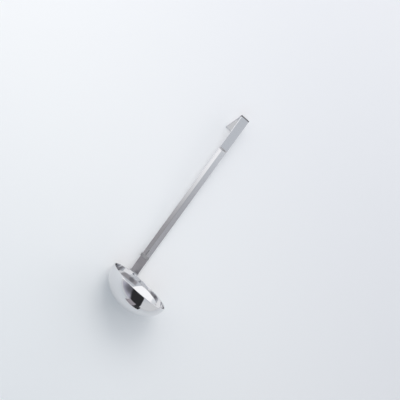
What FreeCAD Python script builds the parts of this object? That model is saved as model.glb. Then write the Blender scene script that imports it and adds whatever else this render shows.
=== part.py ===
import FreeCAD, Part
import Sketcher
import math
import os
import re

# Syrup ladle stamped from one sheet of stainless steel, in millimetres and degrees.
# It is drawn upright: the origin lies on the bowl's axis in the plane of its rim, +Z points
# out of the bowl's mouth and the strap rises from the rim on the +X side. It is then laid
# down the way it comes to rest on a table, on its bowl and the tip of its hook.

os.makedirs("parts", exist_ok=True)
doc = FreeCAD.newDocument("SyrupLadle")

# Driving dimensions
SIZES = {
    "sheet_thickness": 1.2,
    "edge_rounding": 0.4,
    "bowl_diameter": 62,
    "bowl_depth": 25,
    "bowl_side_radius": 19.5,
    "rim_land": 1,
    "strap_width": 9.5,
    "strap_lean": 16.3,
    "strap_reach": 180.3,
    "rim_upstand": 0.5,
    "rim_bend_radius": 2.5,
    "root_blend_radius": 1.5,
    "root_height": 3,
    "flattened_height": 9,
    "groove_start": 16.5,
    "groove_end": 143.5,
    "groove_lead_in": 2.5,
    "groove_lead_out": 1.5,
    "groove_angle": 17,
    "crease_radius": 0.8,
    "hook_length": 19.7,
    "hook_angle": 43.4,
    "hook_bend_radius": 0.6,
}

# Dimensions that follow from the driving ones
DERIVED = {
    "rim_radius": "bowl_diameter / 2",
    "mouth_radius": "rim_radius - sheet_thickness",
    "side_centre": "rim_radius - bowl_side_radius",
    "curved_depth": "bowl_depth - rim_land",
    "bowl_bottom_radius": "(side_centre^2 + curved_depth^2 - bowl_side_radius^2)"
                          " / (2 * (curved_depth - bowl_side_radius))",
    "bottom_centre": "bowl_bottom_radius - bowl_depth",
    "side_sweep": "atan((bottom_centre + rim_land) / side_centre) / 1deg",
    "half_width": "strap_width / 2",
    "lean_sine": "sin(strap_lean * 1deg)",
    "lean_cosine": "cos(strap_lean * 1deg)",
    "outer_rim_bend": "rim_bend_radius + sheet_thickness",
    "strap_foot": "rim_upstand + outer_rim_bend * tan(strap_lean / 2 * 1deg)",
    "root_margin": "2 * sheet_thickness",
    "root_top": "root_height + root_margin",
    "root_half_width": "half_width + root_blend_radius",
    "root_sector": "2 * asin((root_half_width + root_margin) / mouth_radius) / 1deg",
    "trim_width": "root_half_width + 2 * root_margin",
    "trim_height": "2 * root_top",
    "groove_sine": "sin(groove_angle * 1deg)",
    "groove_cosine": "cos(groove_angle * 1deg)",
    "outer_crease": "crease_radius + sheet_thickness",
    "groove_full_from": "groove_start + groove_lead_in",
    "groove_full_to": "groove_end - groove_lead_out",
    "hook_sine": "sin(hook_angle * 1deg)",
    "hook_cosine": "cos(hook_angle * 1deg)",
    "outer_hook_bend": "hook_bend_radius + sheet_thickness",
    "hook_bend_centre": "strap_reach - outer_hook_bend",
    "hook_tip_depth": "outer_hook_bend * (1 + hook_cosine) + hook_length * hook_sine",
    "hook_tip_height": "hook_bend_centre + outer_hook_bend * hook_sine - hook_length * hook_cosine",
}

sheet = doc.addObject("Spreadsheet::Sheet", "Sizes")
for row, (alias, content) in enumerate({**SIZES, **DERIVED}.items(), start=1):
    sheet.set(f"A{row}", alias)
    sheet.set(f"B{row}", str(content) if alias in SIZES else f"={content}")
    sheet.setAlias(f"B{row}", alias)
doc.recompute()


def tied(formula):
    """A formula in the sheet's own words, written for use outside the sheet."""
    return re.sub(r"\b[a-z]+_[a-z_]+\b", r"Sizes.\g<0>", formula)


def value(formula):
    """The number that a formula gives with the sheet's sizes."""
    result = sheet.evalExpression(formula)
    return float(getattr(result, "Value", result))


# Sketches
def sketch_on(body, name, role):
    """Start a sketch on one of the body's own origin planes."""
    plane = next(item for item in body.Origin.OriginFeatures if item.Role == role)
    sketch = body.newObject("Sketcher::SketchObject", name)
    sketch.AttachmentSupport = [(plane, "")]
    sketch.MapMode = "FlatFace"
    return sketch


def lean_sketch(sketch, axis, base):
    """Lean a sketch with the strap, about the given axis, with its origin moved to base."""
    turn = FreeCAD.Rotation(FreeCAD.Vector(*axis), value("strap_lean"))
    where = FreeCAD.Vector(*(value(formula) for formula in base))
    sketch.AttachmentOffset = FreeCAD.Placement(where, turn)
    for letter, formula in zip("xyz", base):
        if formula != "0":
            sketch.setExpression(f"AttachmentOffset.Base.{letter}", tied(formula))
    sketch.setExpression("AttachmentOffset.Rotation.Angle", tied("strap_lean * 1deg"))


def strap_side_sketch(body, name):
    """A sketch in the ladle's middle plane: x is the depth behind the strap's face, y runs up it."""
    sketch = sketch_on(body, name, "XZ_Plane")
    lean_sketch(sketch, (0, 0, -1), ("mouth_radius", "strap_foot", "0"))
    return sketch


def strap_cross_sketch(body, name, height):
    """A sketch square to the strap at a height on it: x is the depth, y runs across the strap."""
    sketch = sketch_on(body, name, "XY_Plane")
    sideways = f"mouth_radius + {height} * lean_sine"
    upwards = f"strap_foot + {height} * lean_cosine"
    lean_sketch(sketch, (0, 1, 0), (sideways, "0", upwards))
    return sketch


def driven(sketch, formula, kind, *where):
    """Add a constraint whose value follows a formula of the sheet's sizes."""
    index = sketch.addConstraint(Sketcher.Constraint(kind, *where, value(formula)))
    sketch.setExpression(f"Constraints[{index}]", tied(formula))


def pin(sketch, geometry, position, corner):
    """Fix a point of a sketch at a corner given by two formulas."""
    for kind, axis, formula in (("DistanceX", -2, corner[0]), ("DistanceY", -1, corner[1])):
        if formula == "0":
            sketch.addConstraint(Sketcher.Constraint("PointOnObject", geometry, position, axis))
        else:
            driven(sketch, formula, kind, geometry, position)


def rounded_corner(before, corner, after, radius):
    """Where an arc tangent to both sides of a corner begins and ends, its arc and whether it turns left."""
    towards = (corner - before).normalize()
    away = (after - corner).normalize()
    cut = radius * math.tan(towards.getAngle(away) / 2)
    begin = corner - towards * cut
    end = corner + away * cut
    turns_left = towards.cross(away).z > 0
    to_the_left = FreeCAD.Vector(-towards.y, towards.x, 0)
    centre = begin + to_the_left * (radius if turns_left else -radius)
    spots = (begin, end) if turns_left else (end, begin)
    angles = [math.atan2(spot.y - centre.y, spot.x - centre.x) for spot in spots]
    circle = Part.Circle(centre, FreeCAD.Vector(0, 0, 1), radius)
    return begin, end, Part.ArcOfCircle(circle, *angles), turns_left


def closed_outline(sketch, corners):
    """Draw a closed outline, anticlockwise, whose corners (x, y, radius) are formulas.

    A corner with no radius stays sharp, and any other is rounded by an arc tangent to its two sides.
    """
    count = len(corners)
    points = [FreeCAD.Vector(value(x), value(y), 0) for x, y, radius in corners]
    begins = list(points)
    ends = list(points)
    arcs = {}
    for index, (x, y, radius) in enumerate(corners):
        if radius:
            neighbours = points[index - 1], points[index], points[(index + 1) % count]
            begins[index], ends[index], *arcs[index] = rounded_corner(*neighbours, value(radius))
    sides = [
        sketch.addGeometry(Part.LineSegment(ends[index - 1], begins[index]), False)
        for index in range(count)
    ]
    for index, (x, y, radius) in enumerate(corners):
        before = sides[index]
        after = sides[(index + 1) % count]
        mark = sketch.addGeometry(Part.Point(points[index]), True)
        pin(sketch, mark, 1, (x, y))
        if not radius:
            sketch.addConstraint(Sketcher.Constraint("Coincident", before, 2, mark, 1))
            sketch.addConstraint(Sketcher.Constraint("Coincident", after, 1, mark, 1))
            continue
        curve, turns_left = arcs[index]
        first, last = (1, 2) if turns_left else (2, 1)
        arc = sketch.addGeometry(curve, False)
        sketch.addConstraint(Sketcher.Constraint("Tangent", before, 2, arc, first))
        sketch.addConstraint(Sketcher.Constraint("Tangent", arc, last, after, 1))
        driven(sketch, radius, "Radius", arc)
        for side in (before, after):
            sketch.addConstraint(Sketcher.Constraint("PointOnObject", mark, 1, side))


# Features
def revolve(body, name, sketch, angle=None):
    """Turn a sketch about the ladle's upright axis, by a full turn or evenly by the named angle."""
    feature = body.newObject("PartDesign::Revolution", name)
    feature.Profile = sketch
    axis = next(item for item in body.Origin.OriginFeatures if item.Role == "Z_Axis")
    feature.ReferenceAxis = (axis, [""])
    feature.Angle = 360
    if angle:
        feature.Midplane = True
        feature.setExpression("Angle", tied(f"{angle} * 1deg"))
    return feature


def cut_away(body, name, sketch, both_ways=False):
    """Cut away all that a sketch covers, on its front side or on both its sides."""
    feature = body.newObject("PartDesign::Pocket", name)
    feature.Profile = sketch
    feature.Type = "ThroughAll"
    feature.Reversed = not both_ways
    feature.Midplane = both_ways
    return feature


def loft(body, name, first, others):
    """Join sections by straight rulings."""
    feature = body.newObject("PartDesign::AdditiveLoft", name)
    feature.Profile = first
    feature.Sections = [(section, [""]) for section in others]
    feature.Ruled = True
    return feature


def fillet(body, name, edges, radius):
    """Round the listed edges of the body's last feature."""
    base = body.Tip
    feature = body.newObject("PartDesign::Fillet", name)
    feature.Base = (base, edges)
    feature.setExpression("Radius", tied(radius))
    return feature


def edges_where(shape, test):
    """Names of the edges whose middle point passes a test."""
    names = []
    for number, edge in enumerate(shape.Edges, start=1):
        middle = edge.valueAt((edge.FirstParameter + edge.LastParameter) / 2)
        if test(middle):
            names.append(f"Edge{number}")
    return names


def on_strap(point):
    """A point's place on the strap: depth behind its face, distance across it, height up it."""
    offset = point - strap_origin
    return offset.dot(behind), offset.y, offset.dot(along)


def face_at_height(shape, height):
    """Name of the flat face square to the strap at a height on it."""
    for number, face in enumerate(shape.Faces, start=1):
        spots = [on_strap(vertex.Point)[2] for vertex in face.Vertexes]
        if all(abs(spot - value(height)) < NEAR for spot in spots):
            return f"Face{number}"
    raise ValueError(f"no face at {height}")


NEAR = 1e-4
along = FreeCAD.Vector(value("lean_sine"), 0, value("lean_cosine"))
behind = FreeCAD.Vector(value("lean_cosine"), 0, -value("lean_sine"))
strap_origin = FreeCAD.Vector(value("mouth_radius"), 0, value("strap_foot"))


# Bowl: a shell of one thickness, turned about its axis. A wide arc makes its bottom and a tighter
# one its side, which ends in a short upright land at the rim
bowl_body = doc.addObject("PartDesign::Body", "BowlEnd")
bowl_sketch = sketch_on(bowl_body, "BowlProfile", "XZ_Plane")


def bowl_line(sketch, inset):
    """Half of the bowl's profile, from the rim to the axis, set in from the outside by a formula."""
    wall_x = value(f"{inset} - rim_radius")
    land_y = -value("rim_land")
    wall = Part.LineSegment(FreeCAD.Vector(wall_x, 0, 0), FreeCAD.Vector(wall_x, land_y, 0))
    curves = [sketch.addGeometry(wall, False)]
    meeting = math.pi + math.radians(value("side_sweep"))
    for centre, radius, angles in (
        ((-value("side_centre"), land_y, 0), f"bowl_side_radius - {inset}", (math.pi, meeting)),
        ((0, value("bottom_centre"), 0), f"bowl_bottom_radius - {inset}", (meeting, 1.5 * math.pi)),
    ):
        circle = Part.Circle(FreeCAD.Vector(*centre), FreeCAD.Vector(0, 0, 1), value(radius))
        curves.append(sketch.addGeometry(Part.ArcOfCircle(circle, *angles), False))
    land, side, bottom = curves
    sketch.addConstraint(Sketcher.Constraint("Vertical", land))
    sketch.addConstraint(Sketcher.Constraint("PointOnObject", land, 1, -1))
    driven(sketch, f"{inset} - rim_radius", "DistanceX", land, 1)
    sketch.addConstraint(Sketcher.Constraint("Tangent", land, 2, side, 1))
    sketch.addConstraint(Sketcher.Constraint("Tangent", side, 2, bottom, 1))
    sketch.addConstraint(Sketcher.Constraint("PointOnObject", bottom, 2, -2))
    return land, side, bottom


outer_land, outer_side, outer_bottom = bowl_line(bowl_sketch, "0")
driven(bowl_sketch, "-rim_land", "DistanceY", outer_land, 2)
bowl_sketch.addConstraint(Sketcher.Constraint("PointOnObject", outer_bottom, 3, -2))
driven(bowl_sketch, "bowl_side_radius", "Radius", outer_side)
driven(bowl_sketch, "-bowl_depth", "DistanceY", outer_bottom, 2)
inner_land, inner_side, inner_bottom = bowl_line(bowl_sketch, "sheet_thickness")
bowl_sketch.addConstraint(Sketcher.Constraint("Coincident", inner_side, 3, outer_side, 3))
bowl_sketch.addConstraint(Sketcher.Constraint("Coincident", inner_bottom, 3, outer_bottom, 3))
for outer, inner, end in ((outer_land, inner_land, 1), (outer_bottom, inner_bottom, 2)):
    line = Part.LineSegment(bowl_sketch.getPoint(outer, end), bowl_sketch.getPoint(inner, end))
    closing = bowl_sketch.addGeometry(line, False)
    bowl_sketch.addConstraint(Sketcher.Constraint("Coincident", closing, 1, outer, end))
    bowl_sketch.addConstraint(Sketcher.Constraint("Coincident", closing, 2, inner, end))
revolve(bowl_body, "BowlShell", bowl_sketch)

# Root of the strap: the wall carries on above the rim, bends outwards and is still curved like the rim
root_sketch = sketch_on(bowl_body, "RootProfile", "XZ_Plane")
closed_outline(root_sketch, [
    ("mouth_radius", "0", None),
    ("rim_radius", "0", None),
    ("rim_radius", "rim_upstand + rim_bend_radius * tan(strap_lean / 2 * 1deg)", "rim_bend_radius"),
    ("mouth_radius + root_top * lean_sine + sheet_thickness * lean_cosine",
     "strap_foot + root_top * lean_cosine - sheet_thickness * lean_sine", None),
    ("mouth_radius + root_top * lean_sine", "strap_foot + root_top * lean_cosine", None),
    ("mouth_radius", "strap_foot", "outer_rim_bend"),
])
revolve(bowl_body, "RootFlare", root_sketch, "root_sector")


for side, name in ((1, "RootSideLeft"), (-1, "RootSideRight")):
    side_sketch = sketch_on(bowl_body, name, "YZ_Plane")
    near = f"{side} * half_width"
    far = f"{side} * trim_width"
    corners = [
        (near, "0", "root_blend_radius"),
        (far, "0", None),
        (far, "trim_height", None),
        (near, "trim_height", None),
    ]
    closed_outline(side_sketch, corners if side > 0 else corners[::-1])
    cut_away(bowl_body, f"{name}Cut", side_sketch)

top_sketch = strap_side_sketch(bowl_body, "RootTop")
closed_outline(top_sketch, [
    ("-root_margin", "root_height", None),
    ("sheet_thickness + root_margin", "root_height", None),
    ("sheet_thickness + root_margin", "trim_height", None),
    ("-root_margin", "trim_height", None),
])
cut_away(bowl_body, "RootTopCut", top_sketch, both_ways=True)
doc.recompute()

# The rim, both blends and the root's sides run smoothly into each other, so rounding the rim's
# two edges rounds the whole outline up to the root's flat top
far_rim = edges_where(bowl_body.Shape, lambda middle: abs(middle.z) < NEAR and middle.x < 0)
fillet(bowl_body, "RolledEdge", far_rim, "edge_rounding")
doc.recompute()


def rounded_strap_section(body, name, height):
    """The strap's flat section with its four rounded edges."""
    sketch = strap_cross_sketch(body, name, height)
    closed_outline(sketch, [
        ("0", "-half_width", "edge_rounding"),
        ("sheet_thickness", "-half_width", "edge_rounding"),
        ("sheet_thickness", "half_width", "edge_rounding"),
        ("0", "half_width", "edge_rounding"),
    ])
    return sketch


# Above the root the strap flattens out
curved_end = face_at_height(bowl_body.Shape, "root_height")
flat_section = rounded_strap_section(bowl_body, "FlattenedSection", "flattened_height")
loft(bowl_body, "Flattening", (bowl_body.Tip, [curved_end]), [flat_section])
doc.recompute()

# Handle: the flat top, the bend and the leg of the hook are one bent strip
handle_body = doc.addObject("PartDesign::Body", "HandleEnd")
hook_sketch = strap_side_sketch(handle_body, "HookProfile")
closed_outline(hook_sketch, [
    ("0", "groove_end", None),
    ("sheet_thickness", "groove_end", None),
    ("sheet_thickness", "hook_bend_centre + hook_bend_radius / tan(hook_angle / 2 * 1deg)",
     "hook_bend_radius"),
    ("hook_tip_depth - sheet_thickness * hook_cosine",
     "hook_tip_height - sheet_thickness * hook_sine", None),
    ("hook_tip_depth", "hook_tip_height", None),
    ("0", "hook_bend_centre + outer_hook_bend / tan(hook_angle / 2 * 1deg)", "outer_hook_bend"),
])
hook = handle_body.newObject("PartDesign::Pad", "HookStrip")
hook.Profile = hook_sketch
hook.Midplane = True
hook.setExpression("Length", tied("strap_width"))
doc.recompute()


def on_leg_outline(middle):
    """True for the edges of the hook's leg: two across its tip, and one up each side of both faces."""
    depth, across, height = on_strap(middle)
    up_leg = (height - value("hook_tip_height")) * value("hook_cosine")
    up_leg -= (depth - value("hook_tip_depth")) * value("hook_sine")
    at_tip = abs(up_leg) < NEAR and abs(across) < NEAR
    at_side = abs(up_leg - value("hook_length / 2")) < value("sheet_thickness")
    return at_tip or at_side and abs(across) > value("half_width") - NEAR


fillet(handle_body, "HookEdges", edges_where(handle_body.Shape, on_leg_outline), "edge_rounding")
doc.recompute()


# Groove: the strap is pressed into a V along its middle, with a lead at each end
def plain_section(name, height):
    """The flat section, divided where the crease begins and ends."""
    sketch = strap_cross_sketch(handle_body, name, height)
    inner_half = "crease_radius * groove_sine"
    outer_half = "outer_crease * groove_sine"
    closed_outline(sketch, [
        ("0", "-half_width", "edge_rounding"),
        ("sheet_thickness", "-half_width", "edge_rounding"),
        ("sheet_thickness", f"-{outer_half}", None),
        ("sheet_thickness", outer_half, None),
        ("sheet_thickness", "half_width", "edge_rounding"),
        ("0", "half_width", "edge_rounding"),
        ("0", inner_half, None),
        ("0", f"-{inner_half}", None),
    ])
    return sketch


def grooved_section(name, height):
    """The V section: two flanks of the full sheet that meet in a rounded crease."""
    sketch = strap_cross_sketch(handle_body, name, height)
    front = "half_width * groove_cosine"
    back = f"{front} + sheet_thickness * groove_sine"
    closed_outline(sketch, [
        ("0", f"-({front})", "edge_rounding"),
        ("sheet_thickness * groove_cosine", f"-({back})", "edge_rounding"),
        ("half_width * groove_sine + sheet_thickness / groove_cosine", "0", "outer_crease"),
        ("sheet_thickness * groove_cosine", back, "edge_rounding"),
        ("0", front, "edge_rounding"),
        ("half_width * groove_sine", "0", "crease_radius"),
    ])
    return sketch


sections = [
    plain_section("AboveGroove", "groove_end"),
    grooved_section("GrooveTop", "groove_full_to"),
    grooved_section("GrooveBottom", "groove_full_from"),
    plain_section("BelowGroove", "groove_start"),
]
loft(handle_body, "Groove", sections[0], sections[1:])
doc.recompute()

# Below the groove the strap is flat again, down to where it starts to curve
stem = handle_body.newObject("PartDesign::Pad", "FlatStem")
stem.Profile = sections[-1]
stem.Reversed = True
stem.setExpression("Length", tied("groove_start - flattened_height"))
doc.recompute()

# One piece: the two ends meet face to face in the strap
ladle = doc.addObject("Part::Fuse", "Ladle")
ladle.Label = "ladle"
ladle.Base = bowl_body
ladle.Tool = handle_body
ladle.Refine = True
doc.recompute()


# Rest: a plane touches the bowl's outside and the rounded outer edge of the hook's tip
def touching_heights(tilt):
    """How far the bowl and the hook's tip reach down, with the ladle laid back onto its strap's side."""
    down = FreeCAD.Vector(math.cos(tilt), 0, -math.sin(tilt))
    if math.degrees(tilt) < value("side_sweep"):
        bowl = value("side_centre") * down.x - value("rim_land") * down.z + value("bowl_side_radius")
    else:
        bowl = value("bottom_centre") * down.z + value("bowl_bottom_radius")
    rounding = value("edge_rounding")
    depth = value("hook_tip_depth") - rounding * (value("hook_sine") + value("hook_cosine"))
    height = value("hook_tip_height") + rounding * (value("hook_cosine") - value("hook_sine"))
    tip = strap_origin + behind * depth + along * height
    return bowl, tip.dot(down) + rounding


STEEPEST_TILT = math.radians(60)
TILT_TOLERANCE = 1e-9
low, high = 0.0, STEEPEST_TILT
while high - low > TILT_TOLERANCE:
    middle = (low + high) / 2
    bowl_reach, tip_reach = touching_heights(middle)
    if tip_reach > bowl_reach:
        low = middle
    else:
        high = middle
rest_tilt = (low + high) / 2
lying = FreeCAD.Rotation(FreeCAD.Vector(0, 1, 0), 90 - math.degrees(rest_tilt))
turned = ladle.Shape.copy()
turned.Placement = FreeCAD.Placement(FreeCAD.Vector(), lying)
bounds = turned.optimalBoundingBox()
onto_floor = FreeCAD.Vector(-(bounds.XMin + bounds.XMax) / 2, 0, -bounds.ZMin)
ladle.Placement = FreeCAD.Placement(onto_floor, lying)
doc.recompute()

# Check everything, then write the piece
for item in doc.Objects:
    if "Invalid" in item.State or "Error" in item.State:
        raise RuntimeError(f"{item.Label} failed: {item.State}")
shape = ladle.Shape
if shape.isNull() or not shape.isValid() or len(shape.Solids) != 1:
    raise RuntimeError("the ladle is not one valid solid")
shape.exportStep(f"parts/{ladle.Label}.step")
print(f"{ladle.Label}: volume {shape.Volume:.1f}, {len(shape.Faces)} faces")
print(f"box: {shape.optimalBoundingBox()}")
print(f"tilt of the support line {math.degrees(rest_tilt):.3f} degrees")
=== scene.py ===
import math

import bmesh
import bpy
from mathutils import Matrix, Quaternion, Vector

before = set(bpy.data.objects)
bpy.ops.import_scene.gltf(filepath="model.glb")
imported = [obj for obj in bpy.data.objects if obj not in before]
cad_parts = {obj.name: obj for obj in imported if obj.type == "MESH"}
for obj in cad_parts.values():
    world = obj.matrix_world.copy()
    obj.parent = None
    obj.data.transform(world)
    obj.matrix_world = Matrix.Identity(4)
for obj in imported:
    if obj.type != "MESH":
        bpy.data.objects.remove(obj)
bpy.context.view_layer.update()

# Syrup ladle of polished stainless steel, lying on its bowl and on the tip of its hook.
# Metres, with +X along the ladle from the bowl to the hook and +Z up. A direction is given by its
# azimuth, which is 0 along +X and 90 along +Y, and its height above the table, both in degrees

# Camera: a long lens that looks down on the table
AIM = Vector((0.02309, -0.01614, 0.0))
CAMERA_AZIMUTH = 119.36
CAMERA_HEIGHT = 61.53
CAMERA_ROLL = 97.79
CAMERA_DISTANCE = 1.4174
SENSOR_WIDTH = 36.0
LENS = 135.0

# Table, with painted shade towards one side, and the white beyond it
TABLE_SIZE = 8.0
TABLE_COLOUR = (0.90, 0.905, 0.915)
TABLE_SHADE_COLOUR = (0.82, 0.83, 0.86)
TABLE_SHADE_AZIMUTH = -25
TABLE_SHADE_FROM = -0.1
TABLE_SHADE_TO = 0.25
TABLE_ROUGHNESS = 0.7
BACKDROP_COLOUR = (0.82, 0.84, 0.87)

# Light tent: a dome of lit cloth over the table, in parts of different brightness. Each part has a
# name, a colour and the planes that bound it. A plane is given by the direction square to it, its
# distance from the middle of the dome and half the width of its soft edge, both in dome radii.
# Later parts lie over earlier ones
TENT_RADIUS = 1.1
TENT_SEGMENTS = 48
TENT_RINGS = 24
TENT_STRENGTH = 0.92
CLOTH_COLOUR = (0.79, 0.80, 0.82)
TENT_PARTS = (
    ("ceiling", (0.66, 0.69, 0.74), (
        (270, 80, 0.75, 0.15),
    )),
    ("grey_back", (0.37, 0.36, 0.38), (
        (180, 0, -0.11, 0.06), (0, 0, -0.30, 0.12), (20, 54, 0.225, 0.05),
        (270, 0, -0.18, 0.08), (0, 90, 0.36, 0.10),
    )),
    ("shade_above", (0.22, 0.22, 0.24), (
        (242, 76, 0.982, 0.014),
    )),
    ("bright_back", (1.20, 1.20, 1.22), (
        (0, 0, 0.155, 0.05), (270, 0, 0.25, 0.10), (0, -90, -0.74, 0.10),
    )),
    ("bright_side", (1.30, 1.30, 1.31), (
        (55, 0, 0.255, 0.02), (17, 8, 0.0, 0.04),
    )),
    ("grey_side", (0.40, 0.41, 0.46), (
        (32, 5, 0.892, 0.015),
    )),
    ("grey_front", (0.49, 0.49, 0.57), (
        (197, -8, 0.07, 0.13), (112, 0, 0.0, 0.02), (0, -90, -0.86, 0.03), (0, 90, 0.08, 0.07),
    )),
    ("shade_front", (0.14, 0.14, 0.16), (
        (139, 33, 0.945, 0.075),
    )),
    ("dark_front", (0.035, 0.035, 0.037), (
        (269, 38, 0.0, 0.07), (180, 0, 0.40, 0.06), (112, 0, 0.0, 0.02), (0, -90, -0.86, 0.03),
    )),
)

# Lamps inside the tent, which don't show in the steel: name, direction, watts and colour
LAMPS = (
    ("main_lamp", (45, 52), 2.1, (1.0, 0.975, 0.94)),
    ("fill_lamp", (160, 50), 1.2, (0.62, 0.87, 1.0)),
)
LAMP_DISTANCE = 0.95
LAMP_SIZE = 0.5

# Small cards that only show in the steel: name, place, azimuth that they face, width, height
# and colour
CARDS = (
    ("dark_card", (-0.232, -0.0535), 5, 0.047, 0.060, (0.035, 0.035, 0.037)),
    ("grey_card", (-0.2343, 0.0), 5, 0.060, 0.068, (0.38, 0.35, 0.37)),
)
CARD_ROUGHNESS = 1.0

# Steel colours: polished, clouded, painted shade on the strap's marks, and in the hook's bend
STEEL_COLOUR = (0.78, 0.78, 0.79)
CLOUDED_COLOUR = (0.75, 0.755, 0.77)
PAINTED_SHADE_COLOUR = (0.38, 0.38, 0.39)
BEND_COLOUR = (0.10, 0.10, 0.11)

# Roughness, from the smoothest to the roughest where it varies
BOWL_ROUGHNESS = (0.015, 0.055)
STRAP_ROUGHNESS = (0.07, 0.15)
DULL_ROUGHNESS = 0.6

# Noise over the steel: cells in a metre, how far they are drawn out along the ladle, and detail
CLOUDS = (60, 1, 3)
HAZE = (300, 1, 4)
GRINDING_LINES = (4000, 60, 2)
RIPPLES = (45, 1, 1)

# Bump, with its heights in metres
BUMP_STRENGTH = 0.3
RIPPLE_HEIGHT = 0.0001
LINE_HEIGHT = 0.000002

# Places on the ladle in metres: where the strap starts and where painted shade and marks lie along
# it
STRAP_FROM = -0.0712
GROOVE_LOWER_END = (-0.0552, -0.0518)
GROOVE_UPPER_END = (0.0699, 0.0722)
CREASE_START = (-0.0540, -0.0455)
CREASE_HALF_WIDTH = 0.0009
HOOK_BEND = (0.1070, 0.1100)
ROOT_LINE = (-0.0716, -0.0706)

# Half the width of the soft edges on the steel
MARK_EDGE = 0.0003
GROOVE_EDGE = 0.0005
STRAP_EDGE = 0.0008
CREASE_EDGE = 0.001


def direction(azimuth, height):
    """Unit vector of a direction given in degrees."""
    turn = math.radians(azimuth)
    rise = math.radians(height)
    level = math.cos(rise)
    return Vector((math.cos(turn) * level, math.sin(turn) * level, math.sin(rise)))


def make_camera():
    """The photograph's viewpoint: where the camera aims, its direction, roll and distance."""
    camera = bpy.data.objects.new("Camera", bpy.data.cameras.new("Camera"))
    bpy.context.scene.collection.objects.link(camera)
    camera.data.sensor_width = SENSOR_WIDTH
    camera.data.lens = LENS
    back = direction(CAMERA_AZIMUTH, CAMERA_HEIGHT)
    roll = Quaternion((0, 0, 1), math.radians(CAMERA_ROLL))
    camera.rotation_mode = "QUATERNION"
    camera.location = AIM + back * CAMERA_DISTANCE
    camera.rotation_quaternion = (-back).to_track_quat("-Z", "Y") @ roll
    bpy.context.scene.camera = camera


# Node tools
def new_material(name):
    """A new node material with its tree and its shader."""
    material = bpy.data.materials.new(name)
    material.use_nodes = True
    return material, material.node_tree, material.node_tree.nodes["Principled BSDF"]


def soft_step(tree, value, start, end):
    """A smooth rise from 0 to 1 as a value goes from start to end."""
    step = tree.nodes.new("ShaderNodeMapRange")
    step.interpolation_type = "SMOOTHSTEP"
    step.inputs["From Min"].default_value = start
    step.inputs["From Max"].default_value = end
    tree.links.new(value, step.inputs["Value"])
    return step.outputs["Result"]


def product(tree, first, second):
    """The product of two masks."""
    node = tree.nodes.new("ShaderNodeMath")
    node.operation = "MULTIPLY"
    tree.links.new(first, node.inputs[0])
    tree.links.new(second, node.inputs[1])
    return node.outputs["Value"]


def lay_over(tree, under, colour, mask):
    """A colour laid over another where a mask says."""
    mix = tree.nodes.new("ShaderNodeMix")
    mix.data_type = "RGBA"
    tree.links.new(mask, mix.inputs["Factor"])
    for socket, value in ((mix.inputs["A"], under), (mix.inputs["B"], colour)):
        if isinstance(value, tuple):
            socket.default_value = (*value, 1)
        else:
            tree.links.new(value, socket)
    return mix.outputs["Result"]


def span(tree, value, start, end, softness):
    """1 where a value lies between start and end, with soft ends."""
    rising = soft_step(tree, value, start - softness, start + softness)
    falling = soft_step(tree, value, end + softness, end - softness)
    return product(tree, rising, falling)


def noise(tree, coordinates, scale, stretch, detail):
    """Noise, with so many cells in a metre, drawn out along the ladle by stretch."""
    mapping = tree.nodes.new("ShaderNodeMapping")
    mapping.inputs["Scale"].default_value = (scale / stretch, scale, scale)
    tree.links.new(coordinates, mapping.inputs["Vector"])
    node = tree.nodes.new("ShaderNodeTexNoise")
    node.inputs["Scale"].default_value = 1.0
    node.inputs["Detail"].default_value = detail
    tree.links.new(mapping.outputs["Vector"], node.inputs["Vector"])
    return node.outputs["Fac"]


def between(tree, factor, low, high):
    """A number from low to high as a factor goes from 0 to 1."""
    node = tree.nodes.new("ShaderNodeMapRange")
    node.inputs["To Min"].default_value = low
    node.inputs["To Max"].default_value = high
    tree.links.new(factor, node.inputs["Value"])
    return node.outputs["Result"]


def choose(tree, mask, first, second):
    """The second number where the mask is 1, and the first elsewhere."""
    node = tree.nodes.new("ShaderNodeMix")
    tree.links.new(mask, node.inputs["Factor"])
    for socket, value in ((node.inputs["A"], first), (node.inputs["B"], second)):
        if isinstance(value, (int, float)):
            socket.default_value = value
        else:
            tree.links.new(value, socket)
    return node.outputs["Result"]


def larger(tree, first, second):
    """The larger of two masks."""
    node = tree.nodes.new("ShaderNodeMath")
    node.operation = "MAXIMUM"
    tree.links.new(first, node.inputs[0])
    tree.links.new(second, node.inputs[1])
    return node.outputs["Value"]


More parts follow.
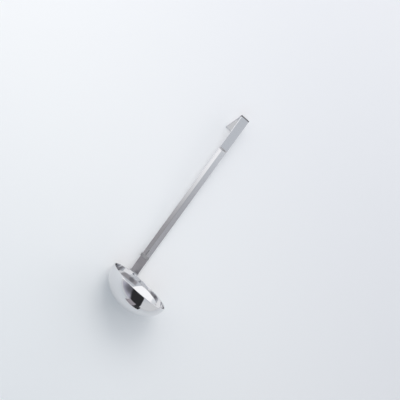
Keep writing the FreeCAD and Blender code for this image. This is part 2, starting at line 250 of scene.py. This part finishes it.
# Ladle
def polished_steel():
    """Stainless steel: a mirror bowl and a finely ground strap, rougher and with painted shade on
    its marks.
    """
    material, tree, shader = new_material("polished_steel")
    shader.inputs["Metallic"].default_value = 1.0
    coordinates = tree.nodes.new("ShaderNodeTexCoord").outputs["Object"]
    place = tree.nodes.new("ShaderNodeSeparateXYZ")
    tree.links.new(coordinates, place.inputs["Vector"])
    along, across = place.outputs["X"], place.outputs["Y"]
    strap = soft_step(tree, along, STRAP_FROM - STRAP_EDGE, STRAP_FROM + STRAP_EDGE)

    # Colour, with painted shade at the groove's lower end, at the start of its crease and at the
    # root, and a dark mark in the hook's bend
    crease = product(tree, span(tree, along, *CREASE_START, CREASE_EDGE),
                     span(tree, across, -CREASE_HALF_WIDTH, CREASE_HALF_WIDTH, MARK_EDGE))
    painted_shade_rough_marks = larger(tree, crease, span(tree, along, *GROOVE_LOWER_END, GROOVE_EDGE))
    painted_shade_rough_marks = larger(tree, painted_shade_rough_marks, product(tree, strap, span(tree, along, *ROOT_LINE, MARK_EDGE)))
    bend = span(tree, along, *HOOK_BEND, MARK_EDGE)
    colour = lay_over(tree, STEEL_COLOUR, CLOUDED_COLOUR, noise(tree, coordinates, *CLOUDS))
    colour = lay_over(tree, colour, PAINTED_SHADE_COLOUR, painted_shade_rough_marks)
    colour = lay_over(tree, colour, BEND_COLOUR, bend)
    tree.links.new(colour, shader.inputs["Base Color"])

    # Finish: polishing haze in the bowl and grinding lines along the strap, rougher on the marks
    # and at the groove's upper end
    haze = noise(tree, coordinates, *HAZE)
    lines = noise(tree, coordinates, *GRINDING_LINES)
    finish = choose(tree, strap, between(tree, haze, *BOWL_ROUGHNESS),
                    between(tree, lines, *STRAP_ROUGHNESS))
    upper_end = span(tree, along, *GROOVE_UPPER_END, MARK_EDGE)
    rough = larger(tree, larger(tree, painted_shade_rough_marks, bend), upper_end)
    tree.links.new(choose(tree, rough, finish, DULL_ROUGHNESS), shader.inputs["Roughness"])

    # Bump: slight ripples in the bowl, and the same grinding lines along the strap
    bump = tree.nodes.new("ShaderNodeBump")
    bump.inputs["Strength"].default_value = BUMP_STRENGTH
    tree.links.new(choose(tree, strap, RIPPLE_HEIGHT, LINE_HEIGHT), bump.inputs["Distance"])
    ripples = noise(tree, coordinates, *RIPPLES)
    tree.links.new(choose(tree, strap, ripples, lines), bump.inputs["Height"])
    tree.links.new(bump.outputs["Normal"], shader.inputs["Normal"])
    return material


# Studio
def make_table():
    """A plain pale table top, with painted shade that darkens it a little towards one side."""
    bpy.ops.mesh.primitive_plane_add(size=TABLE_SIZE)
    table = bpy.context.object
    table.name = "table"
    material, tree, shader = new_material("table_top")
    coordinates = tree.nodes.new("ShaderNodeTexCoord")
    along = tree.nodes.new("ShaderNodeVectorMath")
    along.operation = "DOT_PRODUCT"
    along.inputs[1].default_value = direction(TABLE_SHADE_AZIMUTH, 0)
    tree.links.new(coordinates.outputs["Object"], along.inputs[0])
    shade = soft_step(tree, along.outputs["Value"], TABLE_SHADE_FROM, TABLE_SHADE_TO)
    colour = lay_over(tree, TABLE_COLOUR, TABLE_SHADE_COLOUR, shade)
    tree.links.new(colour, shader.inputs["Base Color"])
    shader.inputs["Roughness"].default_value = TABLE_ROUGHNESS
    table.data.materials.append(material)


def tent_cloth():
    """Lit cloth, brighter and darker in parts."""
    material, tree, shader = new_material("tent_cloth")
    tree.nodes.remove(shader)
    coordinates = tree.nodes.new("ShaderNodeTexCoord")
    place = tree.nodes.new("ShaderNodeVectorMath")
    place.operation = "NORMALIZE"
    tree.links.new(coordinates.outputs["Object"], place.inputs[0])
    colour = CLOTH_COLOUR
    for name, part_colour, borders in TENT_PARTS:
        mask = None
        for azimuth, height, distance, softness in borders:
            side = tree.nodes.new("ShaderNodeVectorMath")
            side.name = name
            side.operation = "DOT_PRODUCT"
            side.inputs[1].default_value = direction(azimuth, height)
            tree.links.new(place.outputs["Vector"], side.inputs[0])
            within = soft_step(tree, side.outputs["Value"],
                               distance - softness, distance + softness)
            mask = product(tree, mask, within) if mask else within
        colour = lay_over(tree, colour, part_colour, mask)
    glow = tree.nodes.new("ShaderNodeEmission")
    glow.inputs["Strength"].default_value = TENT_STRENGTH
    tree.links.new(colour, glow.inputs["Color"])
    tree.links.new(glow.outputs["Emission"], tree.nodes["Material Output"].inputs["Surface"])
    return material


def make_tent():
    """The light tent: it lights the ladle and shows in it, and the camera looks through it."""
    mesh = bpy.data.meshes.new("light_tent")
    shape = bmesh.new()
    bmesh.ops.create_uvsphere(shape, u_segments=TENT_SEGMENTS, v_segments=TENT_RINGS,
                              radius=TENT_RADIUS)
    shape.to_mesh(mesh)
    shape.free()
    tent = bpy.data.objects.new("light_tent", mesh)
    bpy.context.scene.collection.objects.link(tent)
    tent.data.materials.append(tent_cloth())
    tent.visible_camera = False


def make_lamps():
    """Soft lamps that point at the middle of the table."""
    for name, angles, watts, colour in LAMPS:
        lamp = bpy.data.objects.new(name, bpy.data.lights.new(name, "AREA"))
        bpy.context.scene.collection.objects.link(lamp)
        lamp.data.size = LAMP_SIZE
        lamp.data.energy = watts
        lamp.data.color = colour
        towards = direction(*angles)
        lamp.location = towards * LAMP_DISTANCE
        lamp.rotation_mode = "QUATERNION"
        lamp.rotation_quaternion = towards.to_track_quat("Z", "Y")
        lamp.visible_glossy = False


def make_cards():
    """Small cards that stand on the table out of the picture."""
    for name, place, facing, width, height, colour in CARDS:
        material, _, shader = new_material(name)
        shader.inputs["Base Color"].default_value = (*colour, 1)
        shader.inputs["Roughness"].default_value = CARD_ROUGHNESS
        size = Matrix.Diagonal((width, height, 1, 1))
        turn = direction(facing, 0).to_track_quat("Z", "Y").to_matrix().to_4x4()
        middle = Matrix.Translation((*place, height / 2))
        mesh = bpy.data.meshes.new(name)
        shape = bmesh.new()
        bmesh.ops.create_grid(shape, x_segments=1, y_segments=1, size=0.5,
                              matrix=middle @ turn @ size)
        shape.to_mesh(mesh)
        shape.free()
        card = bpy.data.objects.new(name, mesh)
        bpy.context.scene.collection.objects.link(card)
        card.data.materials.append(material)
        card.visible_camera = False
        card.visible_diffuse = False
        card.visible_shadow = False


def make_backdrop():
    """Plain pale light beyond the table."""
    world = bpy.data.worlds.new("backdrop")
    bpy.context.scene.world = world
    world.use_nodes = True
    world.node_tree.nodes["Background"].inputs["Color"].default_value = (*BACKDROP_COLOUR, 1)


bpy.context.scene.view_settings.view_transform = "Standard"

# The ladle keeps its mesh from the CAD model and gets its steel
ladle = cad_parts["ladle"]
ladle.data.materials.clear()
ladle.data.materials.append(polished_steel())
make_table()
make_tent()
make_lamps()
make_cards()
make_backdrop()
make_camera()
